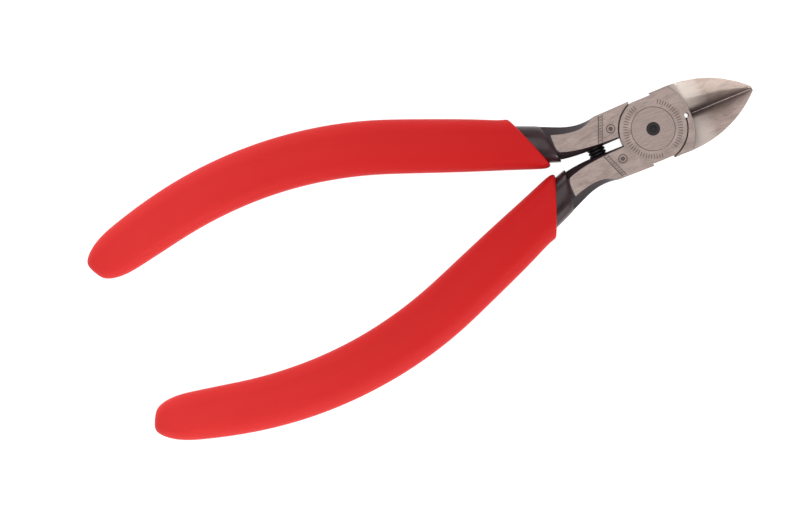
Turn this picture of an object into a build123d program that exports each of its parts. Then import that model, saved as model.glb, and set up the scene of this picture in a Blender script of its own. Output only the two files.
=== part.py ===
from build123d import *
import os
from math import cos, radians, sin, tan

os.makedirs("parts", exist_ok=True)

# Flush cutter of the 5 inch class: two forged levers in a lap joint, opened by a coil spring, with grips of two
# layers.
#
# The origin is on the pivot axis, on the flat back of the head. +X runs to the jaw tips, +Z out of the bevelled
# front, and +Y is the side of the rear lever's handle. The front lever has its handle at -Y and its jaw at
# +Y. The rear lever is the other way round. The levers are drawn with the jaws closed. All sizes are in mm.

# Head and lap joint
overall_length = 127.2
tip_x = 20.15
head_thick = 6.0
head_half_width = 6.45
disc_radius = 6.35
rim_drop = 0.4
disc_gap = 0.25
lap_gap = 0.04
rim_chamfer = 0.06

# Jaws: each has a bevel on the front that falls to the cutting edge, and a flat back
jaw_root_x = 1.9
jaw_bow_x = 4.0
jaw_tip_y = 0.42
jaw_bow_radius = 22.0
bevel_angle = 38.0
edge_land = 0.25
edge_flat = 0.10
edge_gap = 0.01
shoulder_x = 7.5
shoulder_radius = 9.6
shoulder_draft = 6.0
relief_radius = 0.45
relief_x = disc_radius + disc_gap + 0.1

# Shanks: ground flats on the front and back, with sloping sides as forged
arm_inner_y = 0.65
arm_root_x = -2.4
flank_start_x = -9.3
slope_depth = 1.6
inner_slope_y = 0.25

# Pivot: a flanged barrel from the front, a flanged screw from the back, and a lock screw in the barrel
flange_radius = 4.1
flange_thick = 1.0
flange_gap = 0.04
barrel_radius = 2.3
running_gap = 0.03
thread_radius = 1.2
lock_recess = 0.25
lock_length = 1.6
lock_socket = 1.3
back_socket = 2.0

# Return spring, across the gap between the shanks
spring_x = -11.2
spring_radius = 1.68
wire_radius = 0.28
spring_turns = 9.0
pocket_radius = 1.82
pocket_bottom_y = 3.05
spring_end_gap = 0.03

# Handles: the middle line runs straight back, bows outwards, and comes in again
handle_start = (-15.0, 3.15)
handle_angle = 21.5
handle_straight = 33.0
bow_radius = 77.7
heel_radius = 80.0
heel_angle = 13.0
handle_end_x = tip_x - overall_length

# Tang of the lever, black inner layer over it, and outer sleeve over both
layer_wall = 0.4
tang_root_x = -18.5
tang_root_size = 5.4
layer_corner = 2.5
sleeve_corner_share = 0.41
mouth_fillet = 0.5
layer_mouth = (-19.7, 10.5), (-18.75, 5.2), (-18.0, 0.0)
sleeve_mouth = (-25.1, 13.5), (-21.95, 7.2), (-20.25, -1.0)

mid_z = head_thick / 2


def along(angle):
    """Unit direction in the plane of the tool, measured from +X."""
    return Vector(cos(radians(angle)), sin(radians(angle)))


# The middle line of the +Y handle
with BuildLine() as handle_line:
    back = along(180 - handle_angle)
    straight = Line(handle_start, Vector(handle_start) + back * handle_straight)
    bow = JernArc(straight @ 1, straight % 1, bow_radius, handle_angle)
    heel = JernArc(bow @ 1, bow % 1, heel_radius, heel_angle)
    Line(heel @ 1, (heel @ 1) + (heel % 1) * 20)
handle_wire = handle_line.wire()


def handle_plane(x):
    """Plane across the handle where its middle line passes x, at mid thickness."""
    low, high = 0.0, 1.0
    for _ in range(30):
        middle = (low + high) / 2
        if (handle_wire @ middle).X > x:
            low = middle
        else:
            high = middle
    heading = handle_wire % low
    centre = handle_wire @ low
    return Plane(origin=(centre.X, centre.Y, mid_z), x_dir=(heading.Y, -heading.X, 0), z_dir=heading)


def handle_loft(stations, side):
    """Solid through rounded rectangles given as x, width, thickness, corner radius and outward shift."""
    with BuildPart() as body:
        for x, width, thick, corner, shift in stations:
            with BuildSketch(handle_plane(x)):
                with Locations((shift, 0)):
                    RectangleRounded(width, thick, corner)
        loft()
    return body.part if side > 0 else body.part.mirror(Plane.XZ)


# The layer is a steady bar over the tang. The sleeve swells behind its mouth and closes in a blunt point.
layer_stations = [
    (-16.5, 6.9, 6.8),
    (-26.0, 7.1, 6.8),
    (-37.0, 7.4, 6.8),
    (-55.0, 7.4, 6.8),
    (-75.0, 7.4, 6.8),
    (-90.0, 7.3, 6.6),
    (-98.5, 6.4, 6.0),
]
sleeve_stations = [
    (-16.5, 7.7, 8.0, 0.0),
    (-26.0, 9.2, 8.5, 0.0),
    (-37.0, 9.95, 8.8, 0.0),
    (-50.0, 10.1, 8.8, 0.0),
    (-62.0, 10.0, 8.8, 0.0),
    (-74.0, 9.95, 8.8, 0.0),
    (-86.0, 9.85, 8.8, 0.0),
    (-94.0, 9.6, 8.7, 0.0),
    (-99.5, 8.9, 8.3, 0.05),
    (-102.8, 7.5, 7.3, 0.1),
    (-105.2, 5.2, 5.4, 0.2),
    (-106.6, 2.7, 3.0, 0.3),
    (handle_end_x, 0.8, 0.9, 0.35),
]


def tang(side):
    """Steel bar inside the grips of one handle."""
    root = (tang_root_x, tang_root_size, tang_root_size, layer_corner - layer_wall, 0)
    bar = [
        (x, width - 2 * layer_wall, thick - 2 * layer_wall, layer_corner - layer_wall, 0)
        for x, width, thick in layer_stations[1:-1]
    ]
    return handle_loft([root, *bar], side)


def inner_layer(side):
    """Outside of the black layer of one handle, before its mouth is cut."""
    return handle_loft([(x, width, thick, layer_corner, 0) for x, width, thick in layer_stations], side)


def sleeve(side):
    """Outside of the sleeve of one handle, before its mouth is cut."""
    rings = [(x, wide, high, min(wide, high) * sleeve_corner_share, out) for x, wide, high, out in sleeve_stations]
    return handle_loft(rings, side)


def shank(side):
    """Full-thickness shank from the head to the inside of the grip, with its sloping sides."""
    rim = (arm_root_x, head_half_width)
    flank = (flank_start_x, 6.3)
    forged = [(-11.3, 6.02), (-13.2, 6.1), (-15.2, 6.6), (-17.6, 7.6), (-20.4, 8.7)]
    ground = [(-10.4, 5.75), (-11.9, 5.22), (-13.9, 5.13), (-16.6, 5.65), (-20.4, 6.9)]
    forged_inner = [(-20.4, 1.85), (-17.0, 1.05), (-12.5, 0.7)]
    ground_inner = [(-20.4, 3.5), (-16.5, 2.15), (-12.5, 1.4)]
    root, ground_root = (arm_root_x, arm_inner_y), (arm_root_x, arm_inner_y + inner_slope_y)
    levels = [
        (0, ground_root, ground, ground_inner),
        (slope_depth, root, forged, forged_inner),
        (head_thick - slope_depth, root, forged, forged_inner),
        (head_thick, ground_root, ground, ground_inner),
    ]
    with BuildPart() as body:
        for z, base, outer, inner in levels:
            with BuildSketch(Plane.XY.offset(z)):
                with BuildLine():
                    Line(base, rim)
                    Line(rim, flank)
                    Spline(flank, *outer)
                    Line(outer[-1], inner[0])
                    Spline(*inner, base, tangents=[(1, -0.3), (1, -0.05)])
                make_face()
        loft(ruled=True)
    return body.part if side > 0 else body.part.mirror(Plane.XZ)


def jaw(side):
    """Full-thickness jaw from the head to the tip, before its bevel is ground."""
    with BuildPart() as body:
        with BuildSketch():
            with BuildLine():
                Line((jaw_root_x, edge_gap / 2), (tip_x, edge_gap / 2))
                Line((tip_x, edge_gap / 2), (tip_x, jaw_tip_y))
                RadiusArc((tip_x, jaw_tip_y), (jaw_bow_x, head_half_width), -jaw_bow_radius)
                Line((jaw_bow_x, head_half_width), (jaw_root_x, head_half_width))
                Line((jaw_root_x, head_half_width), (jaw_root_x, edge_gap / 2))
            make_face()
        extrude(amount=head_thick)
    return body.part if side > 0 else body.part.mirror(Plane.XZ)


def bevel_cut(side):
    """What is ground away for the bevel, up to a shoulder left round by the wheel."""
    high = 2 * head_thick
    rise = tan(radians(bevel_angle))
    with BuildPart() as body:
        with BuildSketch(Plane.YZ.offset(shoulder_x / 2)):
            with BuildLine():
                Polyline(
                    (-edge_flat, edge_land),
                    (edge_flat, edge_land),
                    (edge_flat + (high - edge_land) / rise, high),
                    (-edge_flat, high),
                    close=True,
                )
            make_face()
        extrude(amount=tip_x)
        flare = (high - head_thick) * tan(radians(shoulder_draft))
        base = shoulder_radius + head_thick * tan(radians(shoulder_draft))
        with Locations((shoulder_x - shoulder_radius, 0, high / 2)):
            Cone(base, shoulder_radius - flare, high, mode=Mode.SUBTRACT)
    return body.part if side > 0 else body.part.mirror(Plane.XZ)


def mouth_cut(side, outer, middle, inner):
    """Everything on the head side of a curved line across one handle."""
    with BuildPart() as body:
        with BuildSketch(Plane.XY.offset(-head_thick)):
            with BuildLine():
                ThreePointArc(outer, middle, inner)
                Polyline(inner, (0, inner[1]), (0, outer[1]), outer)
            make_face()
        extrude(amount=3 * head_thick)
    return body.part if side > 0 else body.part.mirror(Plane.XZ)


def lever(side, lap_bottom, lap_top):
    """Lever with its shank on the given side, its jaw on the other, and its disc between two heights."""
    arm, bar, blade, ground = shank(side), tang(side), jaw(-side), bevel_cut(-side)
    with BuildPart() as body:
        add([arm, bar, blade])
        # Room for the other lever's disc
        for bottom, top in ((0, lap_bottom), (lap_top, head_thick)):
            if top > bottom:
                with Locations((0, 0, bottom)):
                    Cylinder(
                        disc_radius + disc_gap,
                        top - bottom,
                        align=(Align.CENTER, Align.CENTER, Align.MIN),
                        mode=Mode.SUBTRACT,
                    )
        with BuildSketch(Plane.XY.offset(lap_bottom)):
            Circle(disc_radius)
            Rectangle(2 * disc_radius, 2 * (head_half_width - rim_drop), mode=Mode.INTERSECT)
        extrude(amount=lap_top - lap_bottom)
        add(ground, mode=Mode.SUBTRACT)
        # Pocket for one end of the spring
        with Locations(Location((spring_x, side * pocket_bottom_y / 2, mid_z), (90, 0, 0))):
            Cylinder(pocket_radius, pocket_bottom_y, mode=Mode.SUBTRACT)
    return body.part


# ----------------------------------------------------------------------------------------------------
# Levers
# ----------------------------------------------------------------------------------------------------
rear_blank = lever(1, 0, mid_z - lap_gap / 2)
with BuildPart() as rear_lever:
    add(rear_blank)
    # Relief hole at the root of the cutting edges
    with Locations((relief_x, 0, mid_z)):
        Cylinder(relief_radius, 2 * head_thick, mode=Mode.SUBTRACT)
    with Locations((0, 0, mid_z)):
        Cylinder(barrel_radius, 2 * head_thick, mode=Mode.SUBTRACT)
    with Locations((0, 0, 0)):
        Cylinder(flange_radius, 2 * flange_thick, mode=Mode.SUBTRACT)
rear_lever.part.label = "rear_lever"
export_step(rear_lever.part, "parts/rear_lever.step")

front_blank = lever(-1, mid_z + lap_gap / 2, head_thick)
with BuildPart() as front_lever:
    add(front_blank)
    disc_rim = front_lever.edges().group_by(Axis.Z)[-1].filter_by(GeomType.CIRCLE)
    chamfer(disc_rim.filter_by(lambda edge: abs(edge.radius - disc_radius) < edge_gap), rim_chamfer)
    with Locations((relief_x, 0, mid_z)):
        Cylinder(relief_radius, 2 * head_thick, mode=Mode.SUBTRACT)
    with Locations((0, 0, mid_z)):
        Cylinder(barrel_radius + running_gap, 2 * head_thick, mode=Mode.SUBTRACT)
    with Locations((0, 0, head_thick)):
        Cylinder(flange_radius + flange_gap, 2 * (flange_thick + lap_gap / 2), mode=Mode.SUBTRACT)
front_lever.part.label = "front_lever"
export_step(front_lever.part, "parts/front_lever.step")

# ----------------------------------------------------------------------------------------------------
# Pivot
# ----------------------------------------------------------------------------------------------------
with BuildPart() as pivot_barrel:
    with Locations((0, 0, flange_thick)):
        Cylinder(barrel_radius, head_thick - 2 * flange_thick, align=(Align.CENTER, Align.CENTER, Align.MIN))
    with Locations((0, 0, head_thick - flange_thick)):
        Cylinder(flange_radius, flange_thick, align=(Align.CENTER, Align.CENTER, Align.MIN))
    Cylinder(thread_radius, 4 * head_thick, mode=Mode.SUBTRACT)
    chamfer(pivot_barrel.edges().filter_by(GeomType.CIRCLE).group_by(Axis.Z)[-1], rim_chamfer)
pivot_barrel.part.label = "pivot_barrel"
export_step(pivot_barrel.part, "parts/pivot_barrel.step")

with BuildPart() as back_screw:
    Cylinder(flange_radius, flange_thick, align=(Align.CENTER, Align.CENTER, Align.MIN))
    with Locations((0, 0, flange_thick)):
        Cylinder(thread_radius, mid_z - flange_thick, align=(Align.CENTER, Align.CENTER, Align.MIN))
    with BuildSketch():
        RegularPolygon(back_socket / 2, 6, major_radius=False)
    extrude(amount=back_socket, mode=Mode.SUBTRACT)
back_screw.part.label = "back_screw"
export_step(back_screw.part, "parts/back_screw.step")

with BuildPart() as lock_screw:
    with Locations((0, 0, head_thick - lock_recess)):
        Cylinder(thread_radius, lock_length, align=(Align.CENTER, Align.CENTER, Align.MAX))
    with BuildSketch(Plane.XY.offset(head_thick - lock_recess)):
        RegularPolygon(lock_socket / 2, 6, major_radius=False)
    extrude(amount=-lock_socket, mode=Mode.SUBTRACT)
lock_screw.part.label = "lock_screw"
export_step(lock_screw.part, "parts/lock_screw.step")

# ----------------------------------------------------------------------------------------------------
# Return spring, at its length with the jaws closed
# ----------------------------------------------------------------------------------------------------
spring_half = pocket_bottom_y - spring_end_gap - wire_radius
with BuildPart() as return_spring:
    with BuildLine() as coil:
        Helix(
            pitch=2 * spring_half / spring_turns,
            height=2 * spring_half,
            radius=spring_radius - wire_radius,
            center=(spring_x, -spring_half, mid_z),
            direction=(0, 1, 0),
        )
    with BuildSketch(coil.line ^ 0):
        Circle(wire_radius)
    sweep()
return_spring.part.label = "return_spring"
export_step(return_spring.part, "parts/return_spring.step")

# ----------------------------------------------------------------------------------------------------
# Grips: a thin black layer over each tang, and a thick sleeve over the layer
# ----------------------------------------------------------------------------------------------------
for side, steel, end in ((1, rear_lever, "rear"), (-1, front_lever, "front")):
    layer, layer_front = inner_layer(side), mouth_cut(side, *layer_mouth)
    with BuildPart() as inner_grip:
        add(layer)
        add([layer_front, steel.part], mode=Mode.SUBTRACT)
    inner_grip.part.label = f"{end}_inner_grip"
    export_step(inner_grip.part, f"parts/{end}_inner_grip.step")

    tube, tube_front = sleeve(side), mouth_cut(side, *sleeve_mouth)
    with BuildPart() as outer_grip:
        add(tube)
        add(tube_front, mode=Mode.SUBTRACT)
        mouth = outer_grip.faces().sort_by(Axis.X)[-1]
        fillet(mouth.edges(), mouth_fillet)
        add(layer, mode=Mode.SUBTRACT)
    outer_grip.part.label = f"{end}_outer_grip"
    export_step(outer_grip.part, f"parts/{end}_outer_grip.step")
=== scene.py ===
import bpy
from math import cos, pi, radians, sin
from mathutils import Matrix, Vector


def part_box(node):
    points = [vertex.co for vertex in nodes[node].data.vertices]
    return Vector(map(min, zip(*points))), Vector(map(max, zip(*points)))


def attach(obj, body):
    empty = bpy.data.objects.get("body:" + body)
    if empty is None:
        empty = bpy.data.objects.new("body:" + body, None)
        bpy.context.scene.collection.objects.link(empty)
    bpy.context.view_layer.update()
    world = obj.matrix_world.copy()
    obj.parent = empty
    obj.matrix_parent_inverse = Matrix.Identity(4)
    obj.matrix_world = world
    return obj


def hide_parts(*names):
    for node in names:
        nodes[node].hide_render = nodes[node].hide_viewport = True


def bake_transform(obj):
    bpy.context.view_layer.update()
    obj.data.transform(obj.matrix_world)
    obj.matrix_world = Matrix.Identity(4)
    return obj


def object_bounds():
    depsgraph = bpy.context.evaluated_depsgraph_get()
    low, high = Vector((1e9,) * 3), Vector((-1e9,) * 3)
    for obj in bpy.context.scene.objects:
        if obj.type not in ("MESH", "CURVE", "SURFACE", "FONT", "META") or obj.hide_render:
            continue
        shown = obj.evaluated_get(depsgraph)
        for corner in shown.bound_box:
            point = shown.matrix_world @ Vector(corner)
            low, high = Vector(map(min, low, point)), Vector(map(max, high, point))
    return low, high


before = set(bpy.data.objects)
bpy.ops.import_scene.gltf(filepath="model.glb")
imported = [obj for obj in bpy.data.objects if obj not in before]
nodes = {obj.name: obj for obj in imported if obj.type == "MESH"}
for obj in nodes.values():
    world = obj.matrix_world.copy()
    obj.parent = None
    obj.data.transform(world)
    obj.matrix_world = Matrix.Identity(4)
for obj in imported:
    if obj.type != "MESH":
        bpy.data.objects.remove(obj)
cad_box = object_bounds()

# ----------------------------------------------------------------------------------------------------------
# Studio: the cutter lies on its back on a pale table, seen from straight above with the jaws to the upper
# right. A broad soft light hangs over it, a low fill and a kicker stand on either side, and a narrow lamp
# picks out the head.
# ----------------------------------------------------------------------------------------------------------
tilt = radians(22.32)
right = Vector((cos(tilt), -sin(tilt), 0))
up = Vector((sin(tilt), cos(tilt), 0))
view_centre = -0.046175 * right - 0.023063 * up
view_width = 0.1502
lens, sensor = 300, 36
head_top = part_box("front_lever")[1].z
lowest = cad_box[0].z

camera = bpy.data.objects.new("camera", bpy.data.cameras.new("camera"))
bpy.context.scene.collection.objects.link(camera)
camera.data.lens, camera.data.sensor_width = lens, sensor
camera.data.clip_start, camera.data.clip_end = 0.01, 10
camera.location = view_centre + Vector((0, 0, head_top + view_width * lens / sensor))
camera.rotation_euler = (0, 0, -tilt)
bpy.context.scene.camera = camera


class Value:
    """A socket that can be used in ordinary arithmetic. One | another is the greater of the two."""

    def __init__(self, tree, socket):
        self.tree, self.socket = tree, socket

    def math(self, operation, *others, flip=False, clamp=False):
        node = self.tree.nodes.new("ShaderNodeMath")
        node.operation, node.use_clamp = operation, clamp
        terms = (*others, self) if flip else (self, *others)
        for entry, term in zip(node.inputs, terms):
            if isinstance(term, Value):
                self.tree.links.new(term.socket, entry)
            else:
                entry.default_value = term
        return Value(self.tree, node.outputs[0])

    def __add__(self, other):
        return self.math("ADD", other)

    def __sub__(self, other):
        return self.math("SUBTRACT", other)

    def __rsub__(self, other):
        return self.math("SUBTRACT", other, flip=True)

    def __mul__(self, other):
        return self.math("MULTIPLY", other)

    def __truediv__(self, other):
        return self.math("DIVIDE", other)

    def __pow__(self, other):
        return self.math("POWER", other)

    def __or__(self, other):
        return self.math("MAXIMUM", other)

    def __abs__(self):
        return self.math("ABSOLUTE")

    __radd__, __rmul__ = __add__, __mul__

    def clamped(self):
        """No less than 0 and no more than 1."""
        return self.math("ADD", 0.0, clamp=True)

    def above(self, edge, soft):
        """0 below the edge and 1 above it, with a ramp of that width between."""
        return ((self - edge) * (1 / soft) + 0.5).clamped()

    def within(self, reach, soft):
        """1 closer to zero than the reach, and 0 farther off."""
        return 1 - abs(self).above(reach, soft)

    def strokes(self, edge, soft):
        """1 where the nearest whole number is farther off than the edge, which makes a row of strokes."""
        return self.math("FRACT").math("PINGPONG", 0.5).above(edge, soft)


class Finish:
    """A material being made: its own nodes, with the shader's sockets by name."""

    def __init__(self, name, **constants):
        self.material = bpy.data.materials.new(name)
        self.material.use_nodes = True
        self.tree = self.material.node_tree
        self.shader = self.tree.nodes["Principled BSDF"]
        for socket, value in constants.items():
            self.shader.inputs[socket.replace("_", " ")].default_value = value

    def node(self, kind, settings=(), output=0, **sockets):
        """One node: its settings first, then its sockets by name, or by number as i0, i1 and so on."""
        node = self.tree.nodes.new("ShaderNode" + kind)
        for key, value in dict(settings).items():
            setattr(node, key, value)
        for name, value in sockets.items():
            name = name.replace("_", " ")
            numbered = name[0] == "i" and name[1:].isdigit()
            entry = node.inputs[int(name[1:])] if numbered else node.inputs[name]
            if isinstance(value, Value):
                self.tree.links.new(value.socket, entry)
            else:
                entry.default_value = (*value, 1) if entry.type == "RGBA" and len(value) == 3 else value
        if output == "all":
            return [Value(self.tree, socket) for socket in node.outputs]
        return Value(self.tree, node.outputs[output])

    def place(self):
        """Object coordinates in millimetres, and their three parts."""
        coordinates = self.node("TexCoord", output="Object")
        scaled = self.node("VectorMath", {"operation": "SCALE"}, i0=coordinates, Scale=1000.0)
        return scaled, *self.node("SeparateXYZ", output="all", i0=scaled)

    def stretch(self, vector, x, y, z):
        return self.node("VectorMath", {"operation": "MULTIPLY"}, i0=vector, i1=(x, y, z))

    def noise(self, vector, scale, detail=4.0, rough=0.6):
        return self.node("TexNoise", Vector=vector, Scale=scale, Detail=detail, Roughness=rough)

    def mix(self, factor, first, second):
        return self.node("Mix", {"data_type": "RGBA"}, output=2, i0=factor, i6=first, i7=second)

    def bump(self, height, distance, strength=1.0):
        return self.node("Bump", Height=height, Distance=distance, Strength=strength)

    def feed(self, **sockets):
        """Links what changes over the surface to the shader, and gives back the material."""
        for name, value in sockets.items():
            self.tree.links.new(value.socket, self.shader.inputs[name.replace("_", " ")])
        return self.material


def hang_lamp(name, kind, place, target, power, colour):
    lamp = bpy.data.objects.new(name, bpy.data.lights.new(name, kind))
    bpy.context.scene.collection.objects.link(lamp)
    lamp.data.energy, lamp.data.color = power, colour
    lamp.location = place
    lamp.rotation_euler = (Vector(target) - Vector(place)).to_track_quat("-Z", "Y").to_euler()
    return lamp.data


for name, place, size, power, colour in (
    ("overhead", (-0.15, 0.23, 1.52), 1.30, 8.2, (1.0, 0.98, 0.96)),
    ("fill", (0.16, -0.80, 0.28), 0.60, 2.4, (1.0, 0.97, 0.93)),
    ("kicker", (-0.05, 0.75, 0.30), 0.45, 1.8, (1.0, 0.98, 0.97)),
):
    lamp = hang_lamp(name, "AREA", place, (-0.045, 0, 0), power, colour)
    lamp.shape, lamp.size = "DISK", size
# The narrow lamp stands low enough for the upper bevel to catch it
snoot = hang_lamp("snoot", "SPOT", (0.08, -0.80, 0.24), (0.010, 0, 0.003), 132.0, (0.94, 1.0, 0.94))
snoot.shadow_soft_size = 0.16
snoot.spot_size, snoot.spot_blend = radians(5.5), 1.0
bpy.context.scene.view_settings.view_transform = "Standard"

world = bpy.data.worlds.new("studio")
bpy.context.scene.world = world
world.use_nodes = True
world.node_tree.nodes["Background"].inputs["Color"].default_value = (0.95, 0.96, 1.0, 1)
world.node_tree.nodes["Background"].inputs["Strength"].default_value = 0.58

bpy.ops.object.select_all(action="DESELECT")
bpy.ops.mesh.primitive_plane_add(size=3, location=(0, 0, lowest - 0.00005))
floor = bpy.context.object
floor.name = "table_top"
paper = Finish("pale_table", Roughness=0.7, Base_Color=(0.36, 0.36, 0.36, 1), Emission_Color=(1, 1, 1, 1))
paper.shader.inputs["Emission Strength"].default_value = 0.92
floor.data.materials.append(paper.material)

# ----------------------------------------------------------------------------------------------------------
# Levers: two drop forgings of tool steel. The flats, the disc and the bevels are ground to a satin, and the
# sides and the slopes of the shanks keep their black forging skin. Plain marks are etched on the front.
# ----------------------------------------------------------------------------------------------------------
ground_tone, shade_tone = (0.375, 0.302, 0.275), (0.12, 0.090, 0.080)
skin_tone, rub_tone = (0.011, 0.005, 0.007), (0.042, 0.026, 0.030)
# Painted shade for the walls round the head, and painted light for the bevels beside the shoulders
painted_wall_shade_tone, painted_bevel_light_tone = (0.05, 0.038, 0.036), (0.68, 0.61, 0.565)
# Painted shade for the valley between the bevels, and the colour of the etched marks
painted_valley_shade_tone, etch_tone = (0.085, 0.065, 0.06), (0.10, 0.075, 0.07)
# Places on a lever in millimetres: the pivot is at 0, with the jaw ahead of it and the shank behind
head_start = -8.6
# The shoulder's centre, the radius of its wall, and the radius on which the painted light on the bevels is
# centred
shoulder_x, wall_radius, painted_light_radius = -2.1, 9.9, 10.1
flat_end, flat_middle, flat_half_width = -18.15, 4.7, 2.35
first_rule, second_rule, scale_middle, rule_slant = -10.95, -10.2, -10.58, 0.40
shank_start, shank_inner, shank_outer = -7.2, 1.3, 6.0
tick_radius, tick_half_length, tick_count = 5.15, 0.42, 64
spot_x, spot_y, spot_radius, spot_ring_radius = -7.3, 3.0, 0.42, 0.78
front_height = 5.5


def etched_marks(x, y, z, upward, flat):
    """Rules with a scale between them on the shanks, ticks round the disc, and a dot in a ring beside it."""
    across = abs(y)
    slanted = x - across * rule_slant
    rules = (slanted - first_rule).within(0.11, 0.05) | (slanted - second_rule).within(0.09, 0.05)
    scale = (slanted - scale_middle).within(0.16, 0.05) * (across * 2.0).strokes(0.27, 0.1)
    shank = (1 - x.above(shank_start, 0.02)) * across.above(shank_inner, 0.02)
    shank = shank * (1 - across.above(shank_outer, 0.1)) * upward.above(0.97, 0.03)
    ring = (x * x + y * y) ** 0.5
    around = y.math("ARCTAN2", x)
    ticks = (ring - tick_radius).within(tick_half_length, 0.06)
    ticks = ticks * (around * (tick_count / (2 * pi))).strokes(0.35, 0.06)
    ticks = ticks * (abs(around / pi - 0.05).above(0.55, 0.01) | around.within(1.1, 0.02)) * flat
    spot = ((x - spot_x) ** 2 + (across - spot_y) ** 2) ** 0.5
    spot = ((1 - spot.above(spot_radius, 0.08)) | (spot - spot_ring_radius).within(0.10, 0.06)) * flat
    return (rules | scale * 0.8) * shank | (ticks | spot) * z.above(front_height, 0.1)


def lever_finish(name):
    """Satin on the ground faces of a lever and black skin on the rest, with painted shade on the head's
    walls and in the jaws' valley, and painted light on the bevels beside the shoulders.
    """
    steel = Finish(name, Specular_IOR_Level=0.22)
    place, x, y, z = steel.place()
    normal = steel.node("TexCoord", output="Normal")
    ahead, sideways, upward = steel.node("SeparateXYZ", output="all", i0=normal)
    across, flatness, outer = abs(y), abs(upward), abs(sideways).above(0.8, 0.1)
    # Flats look straight up or down, and a jaw's bevel leans by its 38 degrees
    flat = flatness.above(0.97, 0.03)
    head = x.above(head_start, 2.5)
    # The ground flat stops in a rounded end just ahead of the grip
    end = x.above(((across - flat_middle) / flat_half_width) ** 4.0 * 0.7 + flat_end, 0.12)
    bare = (flat | head) * end
    grain = steel.noise(steel.stretch(place, 0.35, 4.0, 3.0), 1.6, 6.0, 0.65)
    fine = steel.noise(steel.stretch(place, 1.0, 18.0, 8.0), 2.5, 3.0, 0.7)
    cloud = steel.noise(place, 0.18, 3.0, 0.55)
    stains = steel.noise(steel.stretch(place, 0.7, 1.3, 1.3), 0.55, 4.0, 0.6)
    spread = grain.above(0.5, 0.30) * 0.36 + fine.above(0.5, 0.34) * 0.28
    spread = spread + stains.above(0.45, 0.32) * 0.30 + 0.08
    tone = steel.mix(spread.clamped(), shade_tone, ground_tone)
    # Painted shade: the walls round the head are darkened, but not the shoulder that the wheel left beside
    # each bevel
    radius = ((x - shoulder_x) ** 2 + y * y) ** 0.5
    painted_wall_shade = abs(radius - wall_radius).above(0.5, 0.1) | outer
    painted_wall_shade = painted_wall_shade * (1 - ahead.above(0.35, 0.3)) * (1 - flatness.above(0.35, 0.3))
    tone = steel.mix(painted_wall_shade * 0.75, tone, painted_wall_shade_tone)
    # Painted light: beside the shoulder the bevel is painted paler, and also made rougher and less metallic
    painted_bevel_light = (radius - painted_light_radius).within(1.9, 4.0) * (1 - flatness.above(0.95, 0.03))
    painted_bevel_light = painted_bevel_light * x.above(4.6, 0.6) * across.above(0.9, 0.6) * (1 - outer)
    tone = steel.mix(painted_bevel_light * (0.55 + 0.7 * grain), tone, painted_bevel_light_tone)
    skin = steel.mix(cloud.above(0.55, 0.5), skin_tone, rub_tone)
    colour = steel.mix(bare, skin, tone)
    # Painted shade in the valley between the bevels, darkest at its root and fading towards the tip
    painted_valley_shade = y.within(0.75, 1.1) * x.above(7.9, 0.3) * (1 - x.above(14.5, 11.0)) * upward.above(0.6, 0.1)
    colour = steel.mix(painted_valley_shade * (0.45 + 0.5 * cloud), colour, painted_valley_shade_tone)
    etched = etched_marks(x, y, z, upward, flat) * (0.65 + 0.55 * fine)
    colour = steel.mix(etched, colour, etch_tone)
    rough = 0.36 + 0.14 * grain + 0.06 * cloud
    rough = rough * bare + (1 - bare) * (0.22 + 0.3 * cloud) + etched * 0.15 + painted_bevel_light * 0.12
    metal = 0.06 + bare * 0.94 - etched * 0.5 - painted_bevel_light * bare * 0.55
    height = fine * 0.5 + grain * 0.5 - etched * 0.6
    return steel.feed(
        Base_Color=colour,
        Roughness=rough,
        Metallic=metal,
        Normal=steel.bump(height, 0.00001, 0.35),
    )


for node in ("front_lever", "rear_lever"):
    nodes[node].data.materials.clear()
    nodes[node].data.materials.append(lever_finish(node + "_steel"))

# ----------------------------------------------------------------------------------------------------------
# Pivot: a turned barrel and screw, both faced off flush with the levers in one grinding, and a small lock
# screw in the barrel's mouth, black from oxide and oil, with a hex socket.
# ----------------------------------------------------------------------------------------------------------
oxide_tone, worn_oxide_tone = (0.010, 0.009, 0.010), (0.035, 0.030, 0.032)
# Painted shade for the barrel's bore, and the radius inside which it is painted
painted_bore_shade_tone, painted_bore_shade_radius = (0.03, 0.024, 0.024), 1.27

pin = Finish("pivot_steel", Metallic=1.0)
place, x, y, z = pin.place()
grain = pin.noise(pin.stretch(place, 0.35, 4.0, 3.0), 1.6, 6.0, 0.65)
fine = pin.noise(pin.stretch(place, 1.0, 18.0, 8.0), 2.5, 3.0, 0.7)
spread = grain.above(0.5, 0.36) * 0.42 + fine.above(0.5, 0.40) * 0.38 + 0.12
tone = pin.mix(spread.clamped(), shade_tone, ground_tone)
# Painted shade: the barrel is darkened inside its bore, round the lock screw
tone = pin.mix(1 - ((x * x + y * y) ** 0.5).above(painted_bore_shade_radius, 0.10), tone, painted_bore_shade_tone)
pin.feed(Base_Color=tone, Roughness=0.36 + 0.16 * grain, Normal=pin.bump(fine, 0.00001, 0.3))
black = Finish("black_oxide", Metallic=0.8)
place, x, y, z = black.place()
mottle = black.noise(place, 1.4, 4.0, 0.6)
black.feed(
    Base_Color=black.mix(mottle, oxide_tone, worn_oxide_tone),
    Roughness=0.28 + 0.25 * mottle,
    Normal=black.bump(mottle, 0.00003, 0.4),
)
for node in ("pivot_barrel", "back_screw", "lock_screw"):
    nodes[node].data.materials.clear()
    nodes[node].data.materials.append(black.material if node == "lock_screw" else pin.material)

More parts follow.
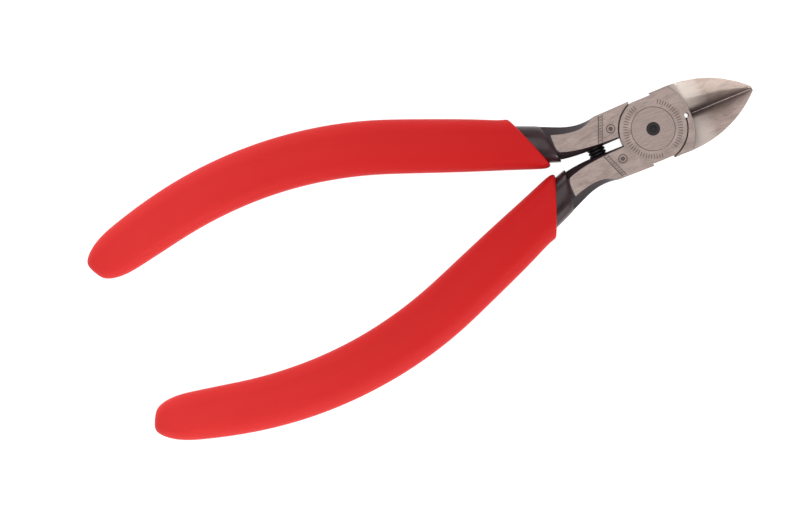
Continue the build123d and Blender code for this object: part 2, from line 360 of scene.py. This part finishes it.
# ----------------------------------------------------------------------------------------------------------
# Return spring: black oxide spring wire wound on a mandrel, closed at both ends, standing in the shanks'
# pockets. The levers squeeze it from either side.
# ----------------------------------------------------------------------------------------------------------
low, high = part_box("return_spring")
wire_radius, turns, steps_per_turn = 0.00028, 9, 28
coil_radius = (high.x - low.x) / 2 - wire_radius
half_length = (high.y - low.y) / 2 - wire_radius
axis_x, axis_z = (high.x + low.x) / 2, (high.z + low.z) / 2
bpy.ops.object.select_all(action="DESELECT")
bpy.ops.mesh.primitive_circle_add(vertices=10, radius=wire_radius, location=(coil_radius, -half_length, 0))
spring = bpy.context.object
spring.name = "coil_spring"
bpy.ops.object.transform_apply(location=True, rotation=True, scale=True)
winding = spring.modifiers.new("winding", "SCREW")
winding.axis, winding.angle, winding.iterations = "Y", 2 * pi, turns
winding.screw_offset = 2 * half_length / turns
winding.steps = winding.render_steps = steps_per_turn
winding.use_normal_calculate = True
bpy.ops.object.modifier_apply(modifier=winding.name)
bpy.ops.object.mode_set(mode="EDIT")
bpy.ops.mesh.select_all(action="SELECT")
bpy.ops.mesh.remove_doubles(threshold=0.000002)
bpy.ops.mesh.select_all(action="DESELECT")
bpy.ops.mesh.select_non_manifold()
bpy.ops.mesh.edge_face_add()
bpy.ops.mesh.select_all(action="SELECT")
bpy.ops.mesh.normals_make_consistent(inside=False)
bpy.ops.object.mode_set(mode="OBJECT")
spring.location = (axis_x, 0, axis_z)
bpy.ops.object.transform_apply(location=True, rotation=True, scale=True)
bpy.ops.object.shade_smooth()
spring.data.materials.append(black.material)
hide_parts("return_spring")
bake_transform(spring)

# ----------------------------------------------------------------------------------------------------------
# Inner grips: a thin first dip of black vinyl over each tang, rounder than the steel, whose mouth shows
# ahead of the red sleeve. It is swept along the handle: straight, then bowed, then turned in at the heel.
# ----------------------------------------------------------------------------------------------------------
tang_start, tang_heading = Vector((-0.015, 0.00315, 0.003)), 158.5
# Length and bend radius of each stretch of the handle in millimetres, with 0 for a straight one
handle_runs = ((33.0, 0), (29.16, 77.7), (18.15, 80.0), (30.0, 0))
# For each ring the distance along the handle, the width and the thickness, and its slant in degrees
layer_rings = [
    (3.75, 6.2, 6.3, 31), (3.95, 6.65, 6.85, 31), (4.35, 6.8, 7.15, 31), (5.6, 6.9, 7.3, 31),
    (8.0, 7.0, 7.35, 31), (11.5, 7.0, 7.0, 31),
]
dip_tone, scuffed_dip_tone = (0.013, 0.003, 0.005), (0.042, 0.018, 0.022)


def handle_point(distance):
    """Place and heading on the middle line, in metres and degrees, that far along in millimetres."""
    here, turn, left, steps = tang_start.copy(), tang_heading, distance, 12
    for run, radius in handle_runs:
        step = min(left, run) / steps
        bend = step / radius * 180 / pi if radius else 0
        for _ in range(steps):
            turn += bend / 2
            here += Vector((cos(radians(turn)), sin(radians(turn)), 0)) * step / 1000
            turn += bend / 2
        left -= run
        if left <= 0:
            return here, turn


def ring_place(distance, slant, shift=0):
    """Centre and heading of a ring, shifted outwards along its own width by that many millimetres."""
    spot, turn = handle_point(distance)
    turn += slant
    return spot + Vector((sin(radians(turn)), -cos(radians(turn)), 0)) * shift / 1000, turn


def place_ring(spot, old_turn, new_turn, grow):
    """The selected ring, which lies across one heading, is sized and set across another."""
    bpy.ops.transform.rotate(value=radians(old_turn - 180), orient_axis="Z", center_override=spot)
    bpy.ops.transform.resize(value=grow, center_override=spot)
    bpy.ops.transform.rotate(value=-radians(new_turn - 180), orient_axis="Z", center_override=spot)


def sweep(name, rings):
    """A closed bar through rings set across the +Y handle, left in edit mode."""
    bpy.ops.object.select_all(action="DESELECT")
    last_spot, _ = ring_place(rings[0][0], *rings[0][3:])
    bpy.ops.mesh.primitive_plane_add(size=1, location=last_spot, rotation=(0, pi / 2, 0))
    bar = bpy.context.object
    bar.name = name
    bpy.ops.object.transform_apply(location=True, rotation=True, scale=True)
    bpy.ops.object.mode_set(mode="EDIT")
    bpy.ops.mesh.select_all(action="SELECT")
    bpy.ops.mesh.bevel(offset=0.40, offset_type="OFFSET", segments=4, affect="VERTICES")
    last_turn, last_width, last_height = 180.0, 1.0, 1.0
    for number, (distance, width, height, slant, *shift) in enumerate(rings):
        spot, turn = ring_place(distance, slant, *shift)
        width, height = width / 1000 / cos(radians(slant)), height / 1000
        if number:
            bpy.ops.mesh.extrude_region_move(TRANSFORM_OT_translate={"value": spot - last_spot})
        place_ring(spot, last_turn, turn, (1, width / last_width, height / last_height))
        last_spot, last_turn, last_width, last_height = spot, turn, width, height
    return bar


def finish_pair(bar, material, twin_name, slot):
    """Smooths the rear lever's piece, and gives the front lever the same piece turned over."""
    bpy.ops.mesh.select_all(action="SELECT")
    bpy.ops.mesh.normals_make_consistent(inside=False)
    bpy.ops.object.mode_set(mode="OBJECT")
    smooth = bar.modifiers.new("smooth", "SUBSURF")
    smooth.levels = smooth.render_levels = 2
    bpy.ops.object.modifier_apply(modifier=smooth.name)
    bpy.ops.object.shade_smooth()
    bar.data.materials.append(material)
    bpy.ops.object.duplicate()
    twin = bpy.context.object
    twin.name = twin_name
    bpy.ops.object.mode_set(mode="EDIT")
    bpy.ops.mesh.select_all(action="SELECT")
    bpy.ops.transform.resize(value=(1, -1, 1), center_override=(0, 0, 0))
    bpy.ops.mesh.normals_make_consistent(inside=False)
    bpy.ops.object.mode_set(mode="OBJECT")
    for piece, body in ((bar, "rear"), (twin, "front")):
        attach(piece, body)
        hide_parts(f"{body}_{slot}")


layer = sweep("rear_layer", layer_rings)
bpy.ops.mesh.select_all(action="DESELECT")
bpy.ops.mesh.select_non_manifold()
bpy.ops.mesh.edge_face_add()
under = Finish("black_vinyl", Specular_IOR_Level=0.33)
place, x, y, z = under.place()
swirl = under.noise(place, 0.5, 3.0, 0.5)
pores = under.noise(place, 9.0, 3.0, 0.6)
under.feed(
    Base_Color=under.mix(swirl.above(0.5, 0.4), dip_tone, scuffed_dip_tone),
    Roughness=0.24 + 0.14 * swirl,
    Normal=under.bump(pores * 0.3 + swirl, 0.00005, 0.35),
)
finish_pair(layer, under.material, "front_layer", "inner_grip")

# ----------------------------------------------------------------------------------------------------------
# Outer grips: thick red dipped vinyl over the black, with a slanted rolled mouth and a blunt rounded end.
# Each is a sleeve that the tang fills.
# ----------------------------------------------------------------------------------------------------------
# Rings as for the inner grips, and at the mouth and the heel a shift outwards in millimetres
sleeve_rings = [
    (7.2, 7.9, 7.9, 43, 0.95), (7.6, 8.8, 8.3, 43, 0.5), (8.5, 9.3, 8.6, 41, 0.1), (10.2, 9.3, 8.6, 34),
    (13.0, 9.4, 8.65, 22), (16.5, 9.7, 8.7, 10), (21.0, 9.95, 8.8, 2), (27.0, 10.1, 8.8, 0),
    (33.0, 10.2, 8.8, 0), (37.0, 10.24, 8.8, 0), (41.0, 10.24, 8.8, 0), (45.5, 10.22, 8.8, 0),
    (50.0, 10.17, 8.8, 0), (54.5, 10.12, 8.8, 0), (59.0, 10.1, 8.8, 0), (63.5, 10.05, 8.8, 0),
    (68.0, 10.0, 8.8, 0), (72.5, 9.9, 8.8, 0), (77.0, 9.8, 8.75, 0), (81.5, 9.65, 8.7, 0),
    (85.0, 9.35, 8.6, 2), (88.0, 9.05, 8.35, 4, -0.05), (90.4, 8.4, 7.8, 6, -0.15),
    (92.4, 7.2, 6.8, 9, -0.3), (94.0, 5.5, 5.3, 12, -0.45), (95.05, 3.3, 3.4, 15, -0.55),
]
# The mouth's roll over the black layer: each step ahead in millimetres, and how much of its size it keeps
mouth_roll = ((0.35, 0.95), (0.18, 0.89), (-0.35, 0.845), (-2.2, 0.78))
# Painted shade at the mouth and painted light at the heel, then the random swells and pores
painted_shade_mouth_red, painted_light_heel_red = (0.535, 0.0090, 0.0095), (0.73, 0.034, 0.031)
swell_red, pore_red = (0.52, 0.010, 0.010), (0.32, 0.008, 0.008)

sleeve = sweep("rear_sleeve", sleeve_rings)
spot, turn = ring_place(sleeve_rings[0][0], *sleeve_rings[0][3:])
ahead = -Vector((cos(radians(turn)), sin(radians(turn)), 0))
bpy.ops.mesh.select_all(action="DESELECT")
bpy.ops.mesh.select_non_manifold()
for push, share in mouth_roll:
    bpy.ops.mesh.extrude_region_move(TRANSFORM_OT_translate={"value": ahead * push / 1000})
    place_ring(spot, turn, turn, (1, share, share))
    spot = spot + ahead * push / 1000
bpy.ops.mesh.edge_face_add()

vinyl = Finish("red_vinyl", Specular_IOR_Level=0.13)
place, x, y, z = vinyl.place()
swell = vinyl.noise(place, 0.07, 2.0, 0.5)
peel = vinyl.noise(place, 1.1, 3.0, 0.5)
pores = vinyl.noise(place, 7.0, 3.0, 0.6)
# Painted light and shade: the red goes a little lighter and pinker towards the heels, and darker towards the
# mouths
colour = vinyl.mix(1 - x.above(-66.0, 84.0), painted_shade_mouth_red, painted_light_heel_red)
colour = vinyl.mix(swell.above(0.5, 0.5) * 0.20, colour, swell_red)
colour = vinyl.mix(pores.above(0.68, 0.12) * 0.20, colour, pore_red)
vinyl.feed(
    Base_Color=colour,
    Roughness=0.50 + 0.10 * swell + 0.08 * pores,
    Normal=vinyl.bump(peel * 0.8 + pores * 0.35, 0.00004, 0.30),
)
finish_pair(sleeve, vinyl.material, "front_sleeve", "outer_grip")
